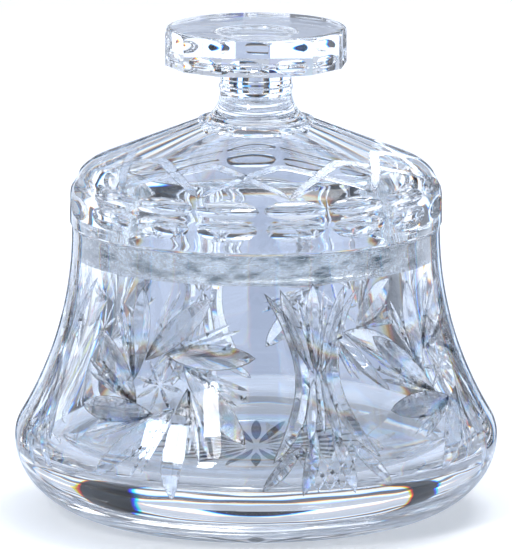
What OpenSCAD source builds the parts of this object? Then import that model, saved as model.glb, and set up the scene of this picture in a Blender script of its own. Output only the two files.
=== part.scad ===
// Cut-glass powder jar: a bell-shaped jar and a domed lid with a twelve-sided knob.
// Both pieces are solid glass. Their axis is Z, the front is -Y, and the origin is
// the middle of the foot, on the table. The lid is drawn in its place on the jar.

/* [Jar] */
// Height of the jar's rim above the table
rim_z = 72.6; // [72:0.1:76]
// Radius of the flat ring that the jar stands on
foot_r = 36; // [33:0.5:40]
// Widest radius of the jar
belly_r = 60; // [58:0.5:62]
// Height of the widest place
belly_z = 19.5; // [18.5:0.5:20]
// Radius of the rounding over the widest place
belly_round = 10; // [9:0.5:11]
// Angle above level at which the round belly turns into the hollow flare
flare_start = 31; // [30.5:0.5:32]
// Outside radius of the neck
neck_r = 45.6; // [45:0.1:46]
// Thickness of the wall at the neck
wall = 4.4; // [3.8:0.1:5]
// Widest radius of the inside, near the floor
cavity_r = 52; // [50:0.5:53]
// Height of the inside floor
floor_z = 17; // [15:0.5:17.5]
// Radius of the rounding between the floor and the wall
floor_round = 4; // [3:0.5:5]
// Angle above level at which that rounding turns into the inside flare
inner_start = 28; // [28:0.5:30]
// Radius of the shallow hollow under the foot
kick_r = 31; // [26:0.5:32]
// Depth of the shallow hollow under the foot
kick_depth = 1; // [0.6:0.1:2]

/* [Ground seat] */
// Height of the ground band inside the mouth
seat_h = 8; // [6:0.5:8]
// Radial play between the lid's ring and the ground band
seat_play = 0.25; // [0.15:0.05:0.4]
// Gap between the lid and the jar's rim
rim_gap = 0.05; // [0.02:0.01:0.1]

/* [Lid] */
// Outside radius of the lid
lid_r = 46.1; // [46:0.1:47]
// Height at which the lid's upright side turns into its shoulder
shoulder_z = 79.2; // [78.5:0.1:80]
// Radius of the shoulder
shoulder_round = 9.7; // [9:0.1:10]
// Fall of the dome for each millimetre outwards
dome_fall = 0.4; // [0.36:0.02:0.44]
// Thickness of the lid's glass
lid_wall = 5.5; // [4.5:0.1:6]
// Thickness of the ring that drops into the mouth
ring_wall = 3.6; // [3:0.1:4.5]
// Radius of the rounding inside the hollow of the lid
hollow_round = 6; // [4:0.5:8]

/* [Stem] */
// Radius of the foot of the stem, on the dome
stem_foot_r = 14.5; // [13:0.5:16]
// Radius of the stem's waist
stem_r = 8.8; // [8:0.1:9.5]
// Height of the lower end of the waist
waist_z = 106.2; // [105:0.1:106.4]
// Height of the bead round the waist
bead_h = 1.5; // [1:0.1:1.8]

/* [Knob] */
// Number of flat sides on the knob
knob_sides = 12; // [8:1:12]
// Radius of the knob at its corners
knob_r = 22.6; // [20:0.1:25]
// Height of the knob's underside
knob_z = 112.6; // [112:0.1:114]
// Thickness of the knob
knob_h = 9.3; // [8:0.1:11]
// Radius of the round edge on top of the knob
knob_round = 1.6; // [1:0.1:2]

/* [Cutting] */
// Number of thumbprints in each row round the lid
prints = 17; // [14:1:17]
// Depth of the thumbprints round the lid
print_depth = 1; // [0.7:0.1:1.2]
// Depth of the thumbprints on the knob
knob_print_depth = 0.4; // [0.2:0.1:0.5]
// Number of points of the star on the dome
star_points = 12; // [8:1:12]
// Depth of the star's grooves at their middle
star_depth = 1.2; // [0.6:0.1:1.4]
// Number of whirls round the jar
whirls = 4; // [3:1:4]
// Number of leaves in a whirl
whirl_leaves = 8; // [5:1:8]
// Number of rays under the foot
rays = 24; // [12:2:24]

/* [Hidden] */

// Jar: the flare's arc is tangent to the belly below and to the upright neck above.
edge = 0.7;
flare_r = (belly_r - belly_round * (1 - cos(flare_start)) - neck_r) / (1 - cos(flare_start));
flare_z = belly_z + (belly_round + flare_r) * sin(flare_start);
seat_r = neck_r - wall;
inner_r = (cavity_r - floor_round * (1 - cos(inner_start)) - seat_r) / (1 - cos(inner_start));
inner_z = floor_z + floor_round + (floor_round + inner_r) * sin(inner_start);

// Lid: the dome is a straight cone between the stem and the round shoulder.
lid_z = rim_z + rim_gap;
lid_edge = 0.9;
dome_turn = 90 - atan(dome_fall);
dome_r = lid_r - shoulder_round * (1 - cos(dome_turn));
dome_z = shoulder_z + shoulder_round * sin(dome_turn);
ring_r = seat_r - seat_play;
ring_z = rim_z - seat_h + 0.6;
hollow_r = ring_r - ring_wall;
knob_turn = 8;
print_turn = 12.3;
print_ball = 10;
star_turn = 11;
whirl_turn = -27.5;
whirl_z = 40.8;
leaf_len = 23;
leaf_depth = 1.7;
leaf_slope = 60;

// Height of the dome's outside and of the lid's hollow at radius r
function dome_at(r) = dome_z + dome_fall * (dome_r - r);
function hollow_at(r) = dome_at(r) - lid_wall * sqrt(1 + dome_fall * dome_fall);

// Outside radius of the jar at height z, anywhere on the flare
function wall_at(z) = neck_r + flare_r - sqrt(flare_r * flare_r - pow(flare_z - z, 2));

// Points of an upright oval arc round (x, z), from angle a0 to angle a1
function arc(x, z, rx, rz, a0, a1, n) =
    [for (i = [0:n]) let (a = a0 + (a1 - a0) * i / n) [x + rx * cos(a), z + rz * sin(a)]];

// Radius of the wheel that cuts a leaf of a given length and depth on the flare,
// lying at angle a from level: the wall bulges sideways and is hollow upwards
function wheel_for(len, depth, a, z) =
    1 / (8 * depth / (len * len) - pow(cos(a), 2) / wall_at(z) + pow(sin(a), 2) / flare_r);

jar_outside = concat(
    arc(foot_r, belly_z, belly_r - foot_r, belly_z, -90, 0, 7),
    arc(belly_r - belly_round, belly_z, belly_round, belly_round, 0, flare_start, 3),
    arc(neck_r + flare_r, flare_z, flare_r, flare_r, 180 + flare_start, 180, 6),
    [[neck_r, rim_z - edge], [neck_r - edge, rim_z]]
);
jar_inside = concat(
    [[seat_r, rim_z]],
    arc(seat_r + inner_r, inner_z, inner_r, inner_r, 180, 180 + inner_start, 6),
    arc(cavity_r - floor_round, floor_z + floor_round, floor_round, floor_round, inner_start, -90, 4)
);

// A wheel with a sharp edge, lying flat: its rim cuts a V whose walls lean out by slope
module sharp_wheel(r, slope) {
    h = r * tan(slope);
    rotate_extrude() polygon([[0, -h], [r, 0], [0, h]]);
}

// A wheel with a round edge, lying flat: its rim cuts a long thumbprint
module round_wheel(r, edge_r) {
    rotate_extrude() translate([r - edge_r, 0]) circle(edge_r, $fn = 48);
}

// Places a wheel beside the flare at turn t and height z, cutting a leaf at angle a
module on_wall(t, z, a, r, depth) {
    tilt = asin((flare_z - z) / flare_r);
    rotate([0, 0, t - 90]) translate([wall_at(z), 0, z]) rotate([0, -tilt, 0])
        translate([r - depth, 0, 0]) rotate([a, 0, 0]) children();
}

// One leaf on the wall: a V cut, pointed at both ends, with its middle at (t, z)
module leaf(t, z, a, len, depth) {
    r = wheel_for(len, depth, a, z);
    on_wall(t, z, a, r, depth) sharp_wheel(r, leaf_slope);
}

// Leaves that start on a small circle and leave it like the blades of a fan. u and v are
// distances along the wall, to the right and up; the wall leans, so v counts a little less in z.
module whirl(t) {
    start_r = 7.5;
    lean = 0.93;
    for (i = [0:whirl_leaves - 1]) {
        from = 88 - 360 / whirl_leaves * i;
        along = from - 88;
        u = start_r * cos(from) + leaf_len / 2 * cos(along);
        v = start_r * sin(from) + leaf_len / 2 * sin(along);
        z = whirl_z + v * lean;
        leaf(t + u / wall_at(z) * 180 / PI, z, along, leaf_len, leaf_depth);
    }
}

// Shallow V rays that meet in the middle of the foot
module foot_star() {
    for (i = [0:rays / 2 - 1])
        rotate([0, 0, 360 / rays * i])
            translate([0, 0, kick_depth]) rotate([0, 90, 0])
                linear_extrude(2 * kick_r - 4, center = true) polygon([[0.5, -1.2], [-0.6, 0], [0.5, 1.2]]);
}

// The jar: one thick-walled bell of glass with a ground mouth
module jar() {
    color([0.86, 0.91, 0.96, 0.6]) difference() {
        rotate_extrude($fn = 96) polygon(concat([[0, 0]], jar_outside, jar_inside, [[0, floor_z]]));
        translate([0, 0, -1]) cylinder(h = kick_depth + 1, r = kick_r, $fn = 96);
        foot_star();
        for (i = [0:whirls - 1]) whirl(whirl_turn + 360 / whirls * i);
    }
}

// Two rows of round dimples, one on the shoulder and one on the upright side
module lid_prints() {
    for (i = [0:prints - 1]) rotate([0, 0, print_turn - 90 + 360 / prints * i]) {
        translate([lid_r - shoulder_round, 0, shoulder_z]) rotate([0, -29, 0])
            translate([shoulder_round - print_depth + print_ball, 0, 0]) sphere(print_ball);
        translate([lid_r - print_depth + print_ball, 0, shoulder_z - 0.2]) sphere(print_ball);
    }
}

// The star: straight V grooves across the dome, each square to one of its radii
module dome_star() {
    from_axis = 36;
    high = 3;
    for (i = [0:star_points - 1]) rotate([0, 0, star_turn + 360 / star_points * i])
        translate([from_axis, 0, dome_at(from_axis)]) rotate([90, 0, 0])
            linear_extrude(60, center = true)
                polygon([[0, -star_depth], [high, high - star_depth], [-high, high - star_depth]]);
}

// The knob: a flat twelve-sided disc with a round top edge and a print on each side
module knob() {
    top = knob_z + knob_h;
    long_r = 28;
    flat_r = knob_r * cos(180 / knob_sides);
    difference() {
        intersection() {
            rotate([0, 0, knob_turn]) translate([0, 0, knob_z]) cylinder(h = knob_h, r = knob_r, $fn = knob_sides);
            rotate_extrude() polygon(concat(
                [[0, knob_z], [knob_r, knob_z]],
                arc(knob_r - knob_round, top - knob_round, knob_round, knob_round, 0, 90, 5),
                [[0, top]]
            ));
        }
        for (i = [0:knob_sides - 1]) rotate([0, 0, knob_turn + 360 / knob_sides * (i + 0.5)])
            translate([flat_r - knob_print_depth + long_r, 0, knob_z + 2.7]) round_wheel(long_r, 3.4);
    }
}

// The lid without its knob, as one turned outline
module lid_bell() {
    foot_z = dome_at(stem_foot_r);
    turn_r = hollow_r - hollow_round * (1 - cos(dome_turn));
    turn_z = hollow_at(turn_r) - hollow_round * sin(dome_turn);
    flat_r = stem_foot_r - 2;
    rotate_extrude($fn = 96) polygon(concat(
        [[0, hollow_at(flat_r)], [flat_r, hollow_at(flat_r)]],
        arc(hollow_r - hollow_round, turn_z, hollow_round, hollow_round, dome_turn, 0, 6),
        [[hollow_r, ring_z], [ring_r - edge, ring_z], [ring_r, ring_z + edge], [ring_r, lid_z]],
        [[lid_r - lid_edge, lid_z], [lid_r, lid_z + lid_edge]],
        arc(lid_r - shoulder_round, shoulder_z, shoulder_round, shoulder_round, 0, dome_turn, 7),
        [[stem_foot_r, foot_z]],
        arc(stem_foot_r - 0.2, waist_z, stem_foot_r - 0.2 - stem_r, waist_z - foot_z - 0.5, 270, 180, 6),
        [[stem_r + 0.35, waist_z + bead_h / 2], [stem_r, waist_z + bead_h], [stem_r, knob_z - 1.5]],
        [[stem_r + 1.5, knob_z], [stem_r + 1.5, knob_z + 1], [0, knob_z + 1]]
    ));
}

// The lid: dome, stem and knob are one piece of glass
module lid() {
    color([0.84, 0.87, 0.97, 0.6]) difference() {
        union() {
            lid_bell();
            knob();
        }
        lid_prints();
        dome_star();
    }
}

jar();
lid();
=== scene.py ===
import math

import bmesh
import bpy
from mathutils import Matrix, Vector


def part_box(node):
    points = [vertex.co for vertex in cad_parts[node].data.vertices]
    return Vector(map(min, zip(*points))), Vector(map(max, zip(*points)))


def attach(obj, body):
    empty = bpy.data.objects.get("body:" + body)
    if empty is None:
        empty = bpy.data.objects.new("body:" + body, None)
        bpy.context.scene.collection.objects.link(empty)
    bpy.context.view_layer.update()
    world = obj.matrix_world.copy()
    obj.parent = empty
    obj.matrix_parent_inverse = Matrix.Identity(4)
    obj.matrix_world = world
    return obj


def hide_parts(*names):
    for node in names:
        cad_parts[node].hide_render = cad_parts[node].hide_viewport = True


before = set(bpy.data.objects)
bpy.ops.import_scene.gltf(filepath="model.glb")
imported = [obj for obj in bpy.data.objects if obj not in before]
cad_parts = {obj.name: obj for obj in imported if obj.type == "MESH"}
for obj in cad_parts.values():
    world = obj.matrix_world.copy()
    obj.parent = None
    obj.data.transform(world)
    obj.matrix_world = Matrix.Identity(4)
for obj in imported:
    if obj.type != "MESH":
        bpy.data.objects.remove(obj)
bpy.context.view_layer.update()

# A cut-glass powder jar. The jar and the lid are turned from their outlines, and every cut is
# a real one: a solid with the cutting wheel's shape is pressed into the glass and taken away.
# Lengths in this script are millimetres until a mesh is finished, when MM takes them to metres.
MM = 0.001
PHOTO_W, PHOTO_H = 512, 549


# ---------------------------------------------------------------- sizes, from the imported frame
jar_low, jar_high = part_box("jar")
lid_low, lid_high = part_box("lid")

RIM_Z = jar_high[2] / MM
BELLY_R = 60.0
FOOT_R, BELLY_Z, BELLY_ROUND, FLARE_START = 36.0, 19.5, 10.0, 31.0
NECK_R, WALL, EDGE = 45.6, 4.4, 0.7
CAVITY_R, FLOOR_Z, FLOOR_ROUND, INNER_START = 52.0, 17.0, 4.0, 28.0
KICK_R, KICK_DEPTH = 31.0, 1.0
SEAT_H, SEAT_PLAY, RIM_GAP = 8.0, 0.25, 0.05

LID_R, LID_EDGE, SHOULDER_Z, SHOULDER_ROUND, DOME_FALL = 46.1, 0.9, 79.2, 9.7, 0.4
LID_WALL, RING_WALL, HOLLOW_ROUND = 5.5, 3.6, 6.0
STEM_FOOT_R, STEM_R, WAIST_Z, BEAD_H = 14.5, 8.8, 106.2, 1.5
KNOB_SIDES, KNOB_R, KNOB_Z, KNOB_ROUND = 12, 22.6, 112.6, 1.6
KNOB_TOP = lid_high[2] / MM

cos = lambda a: math.cos(math.radians(a))
sin = lambda a: math.sin(math.radians(a))

FLARE_R = (BELLY_R - BELLY_ROUND * (1 - cos(FLARE_START)) - NECK_R) / (1 - cos(FLARE_START))
FLARE_Z = BELLY_Z + (BELLY_ROUND + FLARE_R) * sin(FLARE_START)
SEAT_R = NECK_R - WALL
INNER_R = (CAVITY_R - FLOOR_ROUND * (1 - cos(INNER_START)) - SEAT_R) / (1 - cos(INNER_START))
INNER_Z = FLOOR_Z + FLOOR_ROUND + (FLOOR_ROUND + INNER_R) * sin(INNER_START)

LID_Z = RIM_Z + RIM_GAP
DOME_TURN = 90 - math.degrees(math.atan(DOME_FALL))
DOME_R = LID_R - SHOULDER_ROUND * (1 - cos(DOME_TURN))
DOME_Z = SHOULDER_Z + SHOULDER_ROUND * sin(DOME_TURN)
RING_R = SEAT_R - SEAT_PLAY
RING_Z = RIM_Z - SEAT_H + 0.6
HOLLOW_R = RING_R - RING_WALL


def dome_at(r):
    """Height of the dome's outside at radius r."""
    return DOME_Z + DOME_FALL * (DOME_R - r)


def lid_at(r):
    """Height of the lid's outside at radius r, on the dome or on its round shoulder."""
    if r <= DOME_R:
        return dome_at(r)
    return SHOULDER_Z + math.sqrt(SHOULDER_ROUND**2 - (r - LID_R + SHOULDER_ROUND) ** 2)


def hollow_at(r):
    """Height of the lid's hollow at radius r."""
    return dome_at(r) - LID_WALL * math.hypot(1, DOME_FALL)


# ---------------------------------------------------------------- outlines
def arc(x, z, rx, rz, a0, a1, n):
    """Points of an oval arc round (x, z), from angle a0 to angle a1."""
    angles = [a0 + (a1 - a0) * i / n for i in range(n + 1)]
    return [(x + rx * cos(a), z + rz * sin(a)) for a in angles]


def divided(points, step):
    """The same outline with its long straight stretches divided into steps."""
    out = [points[0]]
    for (x0, z0), (x1, z1) in zip(points, points[1:]):
        n = max(1, round(math.hypot(x1 - x0, z1 - z0) / step))
        out += [(x0 + (x1 - x0) * i / n, z0 + (z1 - z0) * i / n) for i in range(1, n + 1)]
    return out


POLISHED, GROUND, CUT, FINE = 0, 1, 2, 3  # material slots of both pieces


class Skin:
    """The outside of a turned piece, as a surface to walk on: turn is the angle from the front,
    positive to the right, and s is the distance along the outline."""

    def __init__(self, points):
        self.points = points
        self.s = [0.0]
        for (x0, z0), (x1, z1) in zip(points, points[1:]):
            self.s.append(self.s[-1] + math.hypot(x1 - x0, z1 - z0))

    def s_at(self, z):
        """The distance along the outline at which it first reaches height z."""
        for i, ((_, z0), (_, z1)) in enumerate(zip(self.points, self.points[1:])):
            if z0 <= z <= z1:
                return self.s[i] + (self.s[i + 1] - self.s[i]) * (z - z0) / max(z1 - z0, 1e-9)
        raise ValueError(f"the outline never reaches {z}")

    def section(self, s):
        """Radius, height and outward normal of the outline at distance s."""
        s = min(max(s, 0.0), self.s[-1] - 1e-6)
        i = max(k for k, at in enumerate(self.s) if at <= s)
        i = min(i, len(self.s) - 2)
        (x0, z0), (x1, z1) = self.points[i], self.points[i + 1]
        t = (s - self.s[i]) / (self.s[i + 1] - self.s[i])
        run = math.hypot(x1 - x0, z1 - z0)
        return x0 + (x1 - x0) * t, z0 + (z1 - z0) * t, (z1 - z0) / run, (x0 - x1) / run

    def at(self, turn, s):
        """Position and outward normal at (turn, s)."""
        r, z, nr, nz = self.section(s)
        away = Vector((sin(turn), -cos(turn), 0))
        return away * r + Vector((0, 0, z)), (away * nr + Vector((0, 0, nz))).normalized()

    def near(self, turn, s, u, v):
        """Position and normal at a place u to the right of (turn, s) and v above it."""
        r = self.section(s + v)[0]
        return self.at(turn + math.degrees(u / r), s + v)


JAR_OUTSIDE = divided(
    [(KICK_R + 0.8, 0.0)]
    + arc(FOOT_R, BELLY_Z, BELLY_R - FOOT_R, BELLY_Z, -90, 0, 40)
    + arc(BELLY_R - BELLY_ROUND, BELLY_Z, BELLY_ROUND, BELLY_ROUND, 0, FLARE_START, 8)[1:]
    + arc(NECK_R + FLARE_R, FLARE_Z, FLARE_R, FLARE_R, 180 + FLARE_START, 180, 36)[1:]
    + arc(NECK_R - EDGE, RIM_Z - EDGE, EDGE, EDGE, 0, 90, 4),
    1.2,
)
STEM_CURVE = arc(STEM_FOOT_R - 0.2, WAIST_Z, STEM_FOOT_R - 0.2 - STEM_R, WAIST_Z - dome_at(STEM_FOOT_R) - 0.5, 270, 180, 14)
LID_OUTSIDE = divided(
    arc(LID_R - LID_EDGE, LID_Z + LID_EDGE, LID_EDGE, LID_EDGE, -90, 0, 4)
    + arc(LID_R - SHOULDER_ROUND, SHOULDER_Z, SHOULDER_ROUND, SHOULDER_ROUND, 0, DOME_TURN, 14)
    + [(STEM_FOOT_R, dome_at(STEM_FOOT_R))]
    + STEM_CURVE
    + [(STEM_R + 0.35, WAIST_Z + BEAD_H * 0.3), (STEM_R + 0.35, WAIST_Z + BEAD_H * 0.7)]
    + [(STEM_R, WAIST_Z + BEAD_H)]
    + arc(STEM_R + 2, KNOB_Z - 2, 2, 2, 180, 90, 5),
    1.2,
)
jar_skin, lid_skin = Skin(JAR_OUTSIDE), Skin(LID_OUTSIDE)


# ---------------------------------------------------------------- turned solids
STEPS = 288


def turned(name, stretches, steps=STEPS):
    """A closed solid turned from an outline that starts and ends on the axis. Each stretch is
    (points, material slot), and starts where the one before it ends."""
    points, slots = [stretches[0][0][0]], []
    for stretch, material in stretches:
        points += stretch[1:]
        slots += [material] * (len(stretch) - 1)
    verts, rings, faces, materials = [], [], [], []
    for r, z in points:
        if r < 1e-6:
            rings.append([len(verts)] * steps)
            verts.append((0.0, 0.0, z))
        else:
            rings.append(list(range(len(verts), len(verts) + steps)))
            verts += [(r * cos(360 * k / steps), r * sin(360 * k / steps), z) for k in range(steps)]
    for low, high, material in zip(rings, rings[1:], slots):
        for k in range(steps):
            n = (k + 1) % steps
            corners = list(dict.fromkeys([low[k], low[n], high[n], high[k]]))
            faces.append(corners)
            materials.append(material)
    mesh = bpy.data.meshes.new(name)
    mesh.from_pydata(verts, [], faces)
    mesh.polygons.foreach_set("material_index", materials)
    return new_object(name, mesh)


def new_object(name, mesh):
    ob = bpy.data.objects.new(name, mesh)
    bpy.context.scene.collection.objects.link(ob)
    return ob


def prism(name, sides, radius, turn, z0, z1):
    """An upright prism with flat sides and a corner at the given turn from the X axis."""
    ring = [(radius * cos(turn + 360 * k / sides), radius * sin(turn + 360 * k / sides)) for k in range(sides)]
    verts = [(x, y, z) for z in (z0, z1) for x, y in ring]
    faces = [list(range(sides))[::-1], list(range(sides, 2 * sides))]
    faces += [[k, (k + 1) % sides, sides + (k + 1) % sides, sides + k] for k in range(sides)]
    mesh = bpy.data.meshes.new(name)
    mesh.from_pydata(verts, [], faces)
    return new_object(name, mesh)


def combined(body, operation, tools):
    """Joins the tools to the body, or cuts with them, by a boolean, and throws them away."""
    group = bpy.data.collections.new("tools")
    bpy.context.scene.collection.children.link(group)
    for tool in tools:
        bpy.context.scene.collection.objects.unlink(tool)
        group.objects.link(tool)
    modifier = body.modifiers.new("boolean", "BOOLEAN")
    modifier.operation = operation
    modifier.solver = "MANIFOLD"
    modifier.operand_type = "COLLECTION"
    modifier.collection = group
    shape = bpy.data.meshes.new_from_object(body.evaluated_get(bpy.context.evaluated_depsgraph_get()))
    body.modifiers.clear()
    old, body.data = body.data, shape
    bpy.data.meshes.remove(old)
    for tool in tools:
        mesh = tool.data
        bpy.data.objects.remove(tool)
        bpy.data.meshes.remove(mesh)
    bpy.data.collections.remove(group)


def cut_away(body, ornaments):
    """Joins the cutters of each ornament, which is quick, and then cuts the body with them."""
    for cutters in ornaments:
        combined(cutters[0], "UNION", cutters[1:])
    combined(body, "DIFFERENCE", [cutters[0] for cutters in ornaments])


# ---------------------------------------------------------------- cutting wheels
TOOL_TOP = 1.0  # how far a cutter stands out of the glass


def v_cut(path, half_widths, steepness, material=CUT):
    """A mitre cut along a path of (position, normal): a V whose depth is its half width times
    steepness, so that it comes to a point where its width does."""
    verts, faces = [], []
    last = len(path) - 1
    for i, ((place, normal), half) in enumerate(zip(path, half_widths)):
        ahead = path[min(i + 1, last)][0] - path[max(i - 1, 0)][0]
        side = ahead.cross(normal).normalized()
        reach = side * (half + TOOL_TOP / steepness)
        verts += [place + normal * TOOL_TOP - reach, place + normal * TOOL_TOP + reach]
        verts.append(place - normal * half * steepness)
    for i in range(last):
        a, b = 3 * i, 3 * i + 3
        faces += [[a, b, b + 1, a + 1], [a + 1, b + 1, b + 2, a + 2], [a + 2, b + 2, b, a]]
    faces += [[0, 1, 2], [3 * last + 2, 3 * last + 1, 3 * last]]
    mesh = bpy.data.meshes.new("v_cut")
    mesh.from_pydata([tuple(v) for v in verts], [], faces)
    mesh.polygons.foreach_set("material_index", [material] * len(faces))
    return new_object("v_cut", mesh)


def leaf_widths(n, half, fullness=0.75, skew=1.0):
    """Half widths of a leaf from end to end, widest past its middle where skew is over 1."""
    out = []
    for i in range(n + 1):
        t = (i / n) ** skew
        out.append(max(half * (4 * t * (1 - t)) ** fullness, 0.01))
    return out


def leaf(skin, turn, s, start, angle, length, half, steepness, fullness=0.75, skew=1.0, material=CUT):
    """A straight leaf on the skin, from start = (u, v) beside (turn, s), at an angle from level."""
    n = 14
    path = []
    for i in range(n + 1):
        d = length * i / n
        path.append(skin.near(turn, s, start[0] + d * cos(angle), start[1] + d * sin(angle)))
    return v_cut(path, leaf_widths(n, half, fullness, skew), steepness, material)


def thumbprint(place, normal, along, half_len, half_wid, depth, bend_len, bend_wid):
    """An oval dish: a ball stretched so that it cuts an oval of that size and depth in glass
    which bulges with radius bend_len along it and bend_wid across it."""
    c = 6.0
    a = math.sqrt(c / (2 * depth / half_len**2 - 1 / bend_len))
    b = math.sqrt(c / (2 * depth / half_wid**2 - 1 / bend_wid))
    side = normal.cross(along).normalized()
    frame4 = Matrix((along.normalized() * a, side * b, normal * c)).transposed().to_4x4()
    frame4.translation = place + normal * (c - depth)
    shape = bmesh.new()
    bmesh.ops.create_uvsphere(shape, u_segments=72, v_segments=48, radius=1, matrix=frame4)
    mesh = bpy.data.meshes.new("thumbprint")
    shape.to_mesh(mesh)
    shape.free()
    return new_object("thumbprint", mesh)


def marked(ob, material):
    """Gives every face of a solid one material slot."""
    ob.data.polygons.foreach_set("material_index", [material] * len(ob.data.polygons))
    return ob


# ---------------------------------------------------------------- the jar
WHIRLS, WHIRL_TURN, WHIRL_Z = 4, -27.5, 40.8
COLUMN_TURN, COLUMN_Z = 17.5, 44.0


def whirl(turn):
    """Eight leaves that leave a small circle like the blades of a fan, with fine rays between
    them and a small star in the middle."""
    s = jar_skin.s_at(WHIRL_Z)
    cuts = []
    for i in range(8):
        start_at = 88 - 45 * i
        along = start_at - 88
        start = (7.5 * cos(start_at), 7.5 * sin(start_at))
        longer = 5.5 * max(0, -sin(along))
        cuts.append(leaf(jar_skin, turn, s, start, along, 23 + longer, 3.1, 0.57, skew=1.1))
        for spread, length in ((13, 17), (20, 20), (27, 18)):
            cuts.append(leaf(jar_skin, turn, s, start, along + spread, length, 0.75, 0.36, 0.5, material=FINE))
    for i in range(8):
        a = -11 + 45 * i
        cuts.append(leaf(jar_skin, turn, s, (0.6 * cos(a), 0.6 * sin(a)), a, 6.4, 0.62, 0.36, 0.6, material=FINE))
    return cuts


def column(turn):
    """Two grooves that lean together at a waist, with a fan of leaves above it and one below."""
    s = jar_skin.s_at(COLUMN_Z)
    cuts = []
    for side in (-1, 1):
        path, widths = [], []
        for i in range(29):
            v = -22 + 42 * i / 28
            u = side * (3.9 + 8.2 * (v / 20) ** 2)
            path.append(jar_skin.near(turn, s, u, v))
            widths.append((2.2 - 0.7 * i / 28) * min(1, 4 * i / 28, 4 * (1 - i / 28)) ** 0.6 + 0.01)
        cuts.append(v_cut(path, widths, 0.57))
    fan = [
        # beside and above the waist, angle, length, half width
        (0, 0, 90, 22, 2.3), (1, 0, 71, 22, 1.8), (-1, 0, 109, 22, 1.8),
        (0, 1, 270, 16, 1.1), (1, -1, 280, 17, 1.5), (-1, -1, 260, 17, 1.5),
        (2, -14, 286, 17, 1.9), (-2, -14, 254, 17, 1.9),
        (6.5, -18, 313, 15, 1.8), (-6.5, -18, 227, 15, 1.8),
    ]
    for u, v, angle, length, half in fan:
        cuts.append(leaf(jar_skin, turn, s, (u, v), angle, length, half, 0.57))
    for side in (-1, 1):
        for angle, length in ((8.5, 20), (13, 18)):
            cuts.append(leaf(jar_skin, turn, s, (0, 1), 90 + side * angle, length, 0.5, 0.36, 0.5, material=FINE))
        for start in (4, 7, 10):
            cuts.append(leaf(jar_skin, turn, s, (side * start, -16), 270 - side * 28, 15, 0.45, 0.3, 0.5, material=FINE))
    return cuts


def foot_star():
    """Shallow rays under the foot, long and short in turn, that point to its middle."""
    cuts = []
    for i in range(24):
        out = Vector((cos(15 * i), sin(15 * i), 0))
        inner = 3 if i % 2 else 7
        path = []
        for k in range(13):
            r = inner + (KICK_R - 2 - inner) * k / 12
            path.append((out * r + Vector((0, 0, KICK_DEPTH)), Vector((0, 0, -1))))
        cuts.append(v_cut(path, leaf_widths(12, 1.3, 0.8), 0.57))
    return cuts


def make_jar():
    start = [(0.0, KICK_DEPTH), (KICK_R - 0.8, KICK_DEPTH), (KICK_R + 0.8, 0.0)]
    rim = [JAR_OUTSIDE[-1], (SEAT_R + 0.3, RIM_Z), (SEAT_R, RIM_Z - 0.3)]
    seat = divided([rim[-1], (SEAT_R, RIM_Z - SEAT_H)], 1.2)
    inside = divided(
        [seat[-1]]
        + arc(SEAT_R + INNER_R, INNER_Z, INNER_R, INNER_R, 180, 180 + INNER_START, 36)[1:]
        + arc(CAVITY_R - FLOOR_ROUND, FLOOR_Z + FLOOR_ROUND, FLOOR_ROUND, FLOOR_ROUND, INNER_START, -90, 12)[1:]
        + [(0.0, FLOOR_Z)],
        2,
    )
    jar = turned("jar_cut", [
        (start, POLISHED), (JAR_OUTSIDE, POLISHED), (rim, POLISHED), (seat, GROUND), (inside, POLISHED),
    ])
    ornaments = [foot_star()]
    for i in range(WHIRLS):
        ornaments += [whirl(WHIRL_TURN + 90 * i), column(COLUMN_TURN + 90 * i)]
    cut_away(jar, ornaments)
    return jar


# ---------------------------------------------------------------- the lid
PRINTS, PRINT_TURN = 17, 12.3
STAR_POINTS, STAR_TURN = 12, 11.0
KNOB_TURN = 8.0


def lid_prints():
    """Two rows of thumbprints, one on the shoulder and one on the upright side."""
    prints = []
    for z, half_wid, depth, bend in ((79.0, 3.15, 1.0, 300.0), (83.8, 2.45, 1.0, SHOULDER_ROUND)):
        s = lid_skin.s_at(z)
        for i in range(PRINTS):
            turn = PRINT_TURN + 360 / PRINTS * i
            place, normal = lid_skin.at(turn, s)
            along = Vector((cos(turn), sin(turn), 0))
            r = lid_skin.section(s)[0]
            prints.append(marked(thumbprint(place, normal, along, 7.5, half_wid, depth, r, bend), CUT))
    return prints


def dome_star():
    """Grooves that join every second point of a ring of points round the dome, each bending in
    towards the stem at its middle."""
    cuts = []
    outer, inner = 43.3, 31.0
    for i in range(STAR_POINTS):
        path = []
        for k in range(25):
            t = k / 12 - 1
            r = inner + (outer - inner) * abs(t) ** 1.5
            turn = STAR_TURN + 360 / STAR_POINTS * (i + t)
            s = lid_skin.s_at(lid_at(r))
            path.append(lid_skin.at(turn, s))
        cuts.append(v_cut(path, leaf_widths(24, 1.4, 0.22), 0.6))
    return cuts


def make_knob():
    top = KNOB_TOP
    knob = turned("knob", [(
        [(0.0, KNOB_Z), (KNOB_R + 1, KNOB_Z)]
        + arc(KNOB_R - KNOB_ROUND, top - KNOB_ROUND, KNOB_ROUND, KNOB_ROUND, 0, 90, 10)
        + [(0.0, top)],
        POLISHED,
    )], 144)
    combined(knob, "INTERSECT", [marked(prism("prism", KNOB_SIDES, KNOB_R, KNOB_TURN - 90, KNOB_Z - 5, top + 5), CUT)])
    prints = []
    flat_r = KNOB_R * cos(180 / KNOB_SIDES)
    for i in range(KNOB_SIDES):
        turn = KNOB_TURN + 360 / KNOB_SIDES * (i + 0.5)
        out = Vector((sin(turn), -cos(turn), 0))
        along = Vector((cos(turn), sin(turn), 0))
        place = out * flat_r + Vector((0, 0, KNOB_Z + 2.7))
        prints.append(marked(thumbprint(place, out, along, 4.5, 1.6, 0.4, 1e6, 1e6), CUT))
    cut_away(knob, [prints])
    return knob


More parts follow.
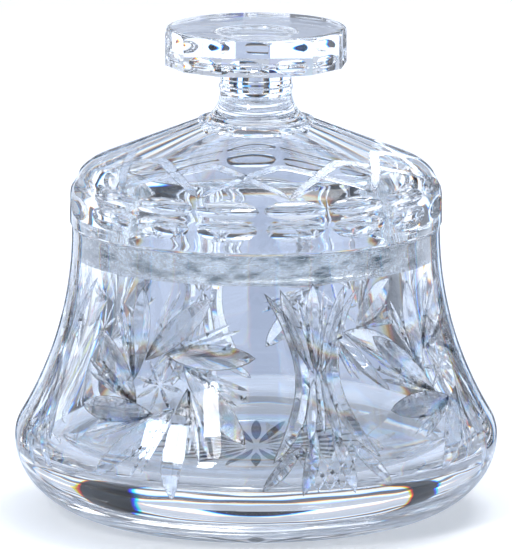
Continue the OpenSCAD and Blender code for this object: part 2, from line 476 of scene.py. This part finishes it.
def make_lid():
    turn_r = HOLLOW_R - HOLLOW_ROUND * (1 - cos(DOME_TURN))
    turn_z = hollow_at(turn_r) - HOLLOW_ROUND * sin(DOME_TURN)
    flat_r = STEM_FOOT_R - 2
    hollow = divided(
        [(0.0, hollow_at(flat_r)), (flat_r, hollow_at(flat_r))]
        + arc(HOLLOW_R - HOLLOW_ROUND, turn_z, HOLLOW_ROUND, HOLLOW_ROUND, DOME_TURN, 0, 14)
        + [(HOLLOW_R, RING_Z + 0.4), (HOLLOW_R + 0.4, RING_Z), (RING_R - 0.5, RING_Z), (RING_R, RING_Z + 0.5)],
        2,
    )
    ring = divided([hollow[-1], (RING_R, LID_Z)], 1.2)
    under = [ring[-1], LID_OUTSIDE[0]]
    top = [LID_OUTSIDE[-1], (LID_OUTSIDE[-1][0], KNOB_Z + 1), (0.0, KNOB_Z + 1)]
    lid = turned("lid_cut", [
        (hollow, POLISHED), (ring, GROUND), (under, POLISHED), (LID_OUTSIDE, POLISHED), (top, POLISHED),
    ])
    cut_away(lid, [lid_prints(), dome_star()])
    combined(lid, "UNION", [make_knob()])
    return lid


# ---------------------------------------------------------------- materials
def glass(name, tint, roughness, waves, wave_size, detail=0.0, stretch=1.0, dark=None, edge_radius=0.0):
    """Clear glass with a faint unevenness of its surface; stretch draws the unevenness out
    into streaks that run round the piece."""
    material = bpy.data.materials.new(name)
    material.use_nodes = True
    nodes, links = material.node_tree.nodes, material.node_tree.links
    shader = nodes["Principled BSDF"]
    shader.inputs["Base Color"].default_value = (*tint, 1)
    shader.inputs["Transmission Weight"].default_value = 1
    shader.inputs["IOR"].default_value = 1.54
    place = nodes.new("ShaderNodeTexCoord")
    scale = nodes.new("ShaderNodeMapping")
    scale.inputs["Scale"].default_value = (1, 1, stretch)
    noise = nodes.new("ShaderNodeTexNoise")
    noise.inputs["Scale"].default_value = 1 / (wave_size * MM)
    noise.inputs["Detail"].default_value = detail
    ramp = nodes.new("ShaderNodeMapRange")
    ramp.inputs["From Min"].default_value = 0.35
    ramp.inputs["From Max"].default_value = 0.65
    ramp.inputs["To Min"].default_value = roughness * 0.5
    ramp.inputs["To Max"].default_value = roughness * 1.5
    bump = nodes.new("ShaderNodeBump")
    bump.inputs["Distance"].default_value = waves * MM
    links.new(place.outputs["Object"], scale.inputs["Vector"])
    links.new(scale.outputs["Vector"], noise.inputs["Vector"])
    links.new(noise.outputs["Fac"], ramp.inputs["Value"])
    links.new(ramp.outputs["Result"], shader.inputs["Roughness"])
    links.new(noise.outputs["Fac"], bump.inputs["Height"])
    links.new(bump.outputs["Normal"], shader.inputs["Normal"])
    if edge_radius:
        edge = nodes.new("ShaderNodeBevel")
        edge.samples = 3
        edge.inputs["Radius"].default_value = edge_radius * MM
        links.new(edge.outputs["Normal"], bump.inputs["Normal"])
    if dark:
        mix = nodes.new("ShaderNodeMix")
        mix.data_type = "RGBA"
        mix.inputs[6].default_value = (*tint, 1)
        mix.inputs[7].default_value = (*dark, 1)
        patches = nodes.new("ShaderNodeTexNoise")
        patches.inputs["Scale"].default_value = 1 / (3 * wave_size * MM)
        patches.inputs["Detail"].default_value = 4
        links.new(scale.outputs["Vector"], patches.inputs["Vector"])
        spread = nodes.new("ShaderNodeMapRange")
        spread.inputs["From Min"].default_value = 0.46
        spread.inputs["From Max"].default_value = 0.64
        links.new(patches.outputs["Fac"], spread.inputs["Value"])
        links.new(spread.outputs["Result"], mix.inputs[0])
        links.new(mix.outputs[2], shader.inputs["Base Color"])
    return material


def finish_glass(ob, body, node, materials):
    """Millimetres to metres, crisp edges round every cut, materials, and its place in the model."""
    mesh = ob.data
    mesh.transform(Matrix.Scale(MM, 4))
    while len(mesh.materials) < len(materials):
        mesh.materials.append(None)
    for i, material in enumerate(materials):
        mesh.materials[i] = material
    shape = bmesh.new()
    shape.from_mesh(mesh)
    for face in shape.faces:
        face.smooth = True
    for edge in shape.edges:
        faces = edge.link_faces
        if len(faces) == 2:
            apart = faces[0].material_index != faces[1].material_index
            edge.smooth = not (apart or edge.calc_face_angle() > math.radians(20))
    shape.to_mesh(mesh)
    shape.free()
    weighted = ob.modifiers.new("normals", "WEIGHTED_NORMAL")
    weighted.keep_sharp = True
    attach(ob, body)
    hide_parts(node)
    print(ob.name, len(mesh.polygons), "faces")


# ---------------------------------------------------------------- camera
DISTANCE = 2.2
ELEVATION = 10.8
FRAME_WIDTH = 127.0
AIM_Z = 59.5


def make_camera():
    data = bpy.data.cameras.new("camera")
    camera = bpy.data.objects.new("camera", data)
    bpy.context.scene.collection.objects.link(camera)
    aim = Vector((0, 0, AIM_Z * MM))
    away = Vector((0, -cos(ELEVATION), sin(ELEVATION)))
    camera.location = aim + away * DISTANCE
    camera.rotation_euler = away.to_track_quat("Z", "Y").to_euler()
    data.sensor_fit = "HORIZONTAL"
    data.sensor_width = 36
    data.lens = 36 * DISTANCE / (FRAME_WIDTH * MM)
    data.clip_end = 20
    bpy.context.scene.camera = camera


# ---------------------------------------------------------------- studio
def math_node(nodes, links, operation, a, b=None):
    node = nodes.new("ShaderNodeMath")
    node.operation = operation
    for socket, value in zip(node.inputs, (a, b)):
        if isinstance(value, (int, float)):
            socket.default_value = value
        elif value is not None:
            links.new(value, socket)
    return node.outputs[0]


def ramp_node(nodes, links, value, low, high, to_low=0.0, to_high=1.0):
    node = nodes.new("ShaderNodeMapRange")
    node.interpolation_type = "SMOOTHSTEP"
    for name, number in (("From Min", low), ("From Max", high), ("To Min", to_low), ("To Max", to_high)):
        node.inputs[name].default_value = number
    links.new(value, node.inputs["Value"])
    return node.outputs["Result"]


CARDS = ((32, 7), (-35, 4), (65, 4), (-70, 4), (100, 5), (-106, 5), (140, 6), (-132, 6), (176, 9))
SHELVES = ((0.15, 0.05, 0.5), (0.26, 0.02, 0.85), (0.40, 0.03, 0.85), (0.58, 0.04, 0.85), (0.80, 0.05, 0.85))
WOBBLE = 0.2
CARD_DEPTH = 0.97
FRINGE = 0.006
FRINGES = (("Red", -FRINGE), ("Green", 0.0), ("Blue", FRINGE))
FLOOR_SEEN = 0.11  # beyond this the glass doesn't see the floor
# painted shade: the floor's grey-lavender colour for every ray but the camera's, so the glass sees the floor shaded
FLOOR_SHADE_FOR_GLASS = {"Red": 0.50, "Green": 0.56, "Blue": 0.68}
PANEL = {"Red": 0.43, "Green": 0.50, "Blue": 0.66}
PANEL_SIZE, FRAME_SIZE, FRAME_DEPTH = 8.5, 15.5, 0.97
HORIZON = {"Red": 1.20, "Green": 1.32, "Blue": 1.55}
SKY = {"Red": 0.90, "Green": 0.97, "Blue": 1.10}
FRONT = 1.1
FLOOR_GLOW = 0.3


def cards_at(nodes, links, turn, shift):
    """How much of a card stands at an angle round the piece, 0 at its back."""
    total = None
    for middle, half in CARDS:
        off = math_node(nodes, links, "SUBTRACT", turn, math.radians(middle) + shift)
        off = math_node(nodes, links, "COSINE", off)
        here = ramp_node(nodes, links, off, cos(half + 0.8), cos(half))
        total = here if total is None else math_node(nodes, links, "MAXIMUM", total, here)
    return total


def make_floor():
    """A near white floor to the camera. To the glass and to bounced light its colour is a painted grey-lavender shade,
    and the glass sees only the part of it that the piece stands on.
    """
    mesh = bpy.data.meshes.new("floor")
    size = 1.6
    mesh.from_pydata([(-size, -size, 0), (size, -size, 0), (size, size, 0), (-size, size, 0)], [], [(0, 1, 2, 3)])
    floor = new_object("floor", mesh)
    material = bpy.data.materials.new("floor")
    material.use_nodes = True
    nodes, links = material.node_tree.nodes, material.node_tree.links
    shader = nodes["Principled BSDF"]
    shader.inputs["Roughness"].default_value = 0.8
    shader.inputs["Specular IOR Level"].default_value = 0.1
    shader.inputs["Emission Color"].default_value = (0.88, 0.94, 1, 1)
    seen = nodes.new("ShaderNodeLightPath").outputs["Is Camera Ray"]
    shader.inputs["Emission Strength"].default_value = FLOOR_GLOW
    mix = nodes.new("ShaderNodeMix")
    mix.data_type = "RGBA"
    # painted shade for every ray but the camera's; the camera gets the near white colour below
    mix.inputs[6].default_value = (FLOOR_SHADE_FOR_GLASS["Red"], FLOOR_SHADE_FOR_GLASS["Green"], FLOOR_SHADE_FOR_GLASS["Blue"], 1)
    mix.inputs[7].default_value = (0.98, 0.98, 0.99, 1)
    links.new(seen, mix.inputs[0])
    links.new(mix.outputs[2], shader.inputs["Base Color"])
    place = nodes.new("ShaderNodeTexCoord")
    away = nodes.new("ShaderNodeVectorMath")
    away.operation = "LENGTH"
    links.new(place.outputs["Object"], away.inputs[0])
    near = ramp_node(nodes, links, away.outputs["Value"], FLOOR_SEEN + 0.02, FLOOR_SEEN)
    clear = nodes.new("ShaderNodeBsdfTransparent")
    blend = nodes.new("ShaderNodeMixShader")
    links.new(math_node(nodes, links, "MAXIMUM", seen, near), blend.inputs[0])
    links.new(clear.outputs[0], blend.inputs[1])
    links.new(shader.outputs[0], blend.inputs[2])
    links.new(blend.outputs[0], nodes["Material Output"].inputs["Surface"])
    mesh.materials.append(material)


def make_light():
    """A white studio as the glass sees it: a grey panel in a dark frame straight behind the piece, dark cards round
    it, and a room in front that is a little brighter. Their edges differ a little for red, green and blue, which gives
    the glass the fringes of its dispersion."""
    world = bpy.data.worlds.new("studio")
    bpy.context.scene.world = world
    world.use_nodes = True
    nodes, links = world.node_tree.nodes, world.node_tree.links
    background = nodes["Background"]
    background.inputs["Strength"].default_value = 1.12
    place = nodes.new("ShaderNodeTexCoord")
    split = nodes.new("ShaderNodeSeparateXYZ")
    links.new(place.outputs["Generated"], split.inputs["Vector"])
    combine = nodes.new("ShaderNodeCombineColor")
    turn = math_node(nodes, links, "ARCTAN2", split.outputs["X"], split.outputs["Y"])
    behind = nodes.new("ShaderNodeVectorMath")
    behind.operation = "DOT_PRODUCT"
    behind.inputs[1].default_value = (0, cos(ELEVATION), -sin(ELEVATION))
    links.new(place.outputs["Generated"], behind.inputs[0])
    off = math_node(nodes, links, "ARCCOSINE", behind.outputs["Value"])
    over = nodes.new("ShaderNodeVectorMath")
    over.operation = "DOT_PRODUCT"
    over.inputs[1].default_value = (0, cos(ELEVATION), sin(ELEVATION))
    links.new(place.outputs["Generated"], over.inputs[0])
    over_panel = ramp_node(nodes, links, over.outputs["Value"], cos(8), cos(7), 1.0, 0.85)
    noise = nodes.new("ShaderNodeTexNoise")
    noise.inputs["Scale"].default_value = 3.5
    noise.inputs["Detail"].default_value = 1.0
    links.new(place.outputs["Generated"], noise.inputs["Vector"])
    wave = math_node(nodes, links, "MULTIPLY", math_node(nodes, links, "SUBTRACT", noise.outputs["Fac"], 0.5), WOBBLE)
    turn = math_node(nodes, links, "ADD", turn, wave)
    front = ramp_node(nodes, links, split.outputs["Y"], 0.1, -0.4, 1.0, FRONT)
    for channel, shift in FRINGES:
        across = cards_at(nodes, links, turn, 2 * shift)
        height = math_node(nodes, links, "ADD", math_node(nodes, links, "ADD", split.outputs["Z"], shift), wave)
        low = ramp_node(nodes, links, height, -0.30, -0.28)
        high = ramp_node(nodes, links, height, 0.72, 0.67)
        dark = math_node(nodes, links, "MULTIPLY", math_node(nodes, links, "MULTIPLY", across, low), high)
        light = math_node(nodes, links, "SUBTRACT", 1.0, math_node(nodes, links, "MULTIPLY", dark, CARD_DEPTH))
        sky = ramp_node(nodes, links, height, 0.05, 0.30, HORIZON[channel], SKY[channel])
        light = math_node(nodes, links, "MULTIPLY", light, sky)
        light = math_node(nodes, links, "MULTIPLY", light, front)
        light = math_node(nodes, links, "MULTIPLY", light, over_panel)
        for middle, half, depth in SHELVES:
            above = math_node(nodes, links, "ABSOLUTE", math_node(nodes, links, "SUBTRACT", height, middle))
            shelf = ramp_node(nodes, links, above, half, half + 0.015, 1 - depth, 1.0)
            light = math_node(nodes, links, "MULTIPLY", light, shelf)
        angle = math_node(nodes, links, "ADD", off, shift)
        size, frame_size = math.radians(PANEL_SIZE), math.radians(FRAME_SIZE)
        frame_here = ramp_node(nodes, links, angle, frame_size + 0.02, frame_size, 1.0, 1 - FRAME_DEPTH)
        light = math_node(nodes, links, "MULTIPLY", light, frame_here)
        panel = ramp_node(nodes, links, angle, size + 0.02, size, 0.0, 1.0)
        lit = math_node(nodes, links, "MULTIPLY", panel, PANEL[channel])
        rest = math_node(nodes, links, "MULTIPLY", math_node(nodes, links, "SUBTRACT", 1.0, panel), light)
        links.new(math_node(nodes, links, "ADD", lit, rest), combine.inputs[channel])
    seen = nodes.new("ShaderNodeLightPath")
    mix = nodes.new("ShaderNodeMix")
    mix.data_type = "RGBA"
    mix.inputs[7].default_value = (1, 1, 1, 1)
    links.new(seen.outputs["Is Camera Ray"], mix.inputs[0])
    links.new(combine.outputs["Color"], mix.inputs[6])
    links.new(mix.outputs[2], background.inputs["Color"])
    for name, place, width, height, energy in (
        ("soft_box", (-0.40, -0.85, 0.62), 0.13, 0.30, 3.6),
        ("top_box", (0.3, 0.1, 1.1), 0.7, 0.5, 4.0),
    ):
        lamp = bpy.data.lights.new(name, "AREA")
        lamp.shape = "RECTANGLE"
        lamp.size, lamp.size_y = width, height
        lamp.energy = energy
        box = new_object(name, lamp)
        box.location = place
        box.rotation_euler = box.location.to_track_quat("Z", "Y").to_euler()


make_camera()
clear = (0.965, 0.98, 1.0)
polished = glass("polished_glass", clear, 0.004, 0.08, 14)
ground = glass("ground_glass", (0.96, 1.0, 1.0), 0.14, 1.1, 2.2, 3, 2.5, dark=(0.10, 0.16, 0.18))
cut = glass("cut_glass", clear, 0.004, 0.008, 4, edge_radius=0.3)
fine = glass("fine_cut_glass", (1.0, 1.0, 1.0), 0.05, 0.004, 4)
slots = (polished, ground, cut, fine)
finish_glass(make_jar(), "jar", "jar", slots)
finish_glass(make_lid(), "lid", "lid", slots)
make_floor()
make_light()
scene = bpy.context.scene
scene.view_settings.view_transform = "Standard"
scene.cycles.max_bounces = 40
scene.cycles.transmission_bounces = 40
scene.cycles.glossy_bounces = 12
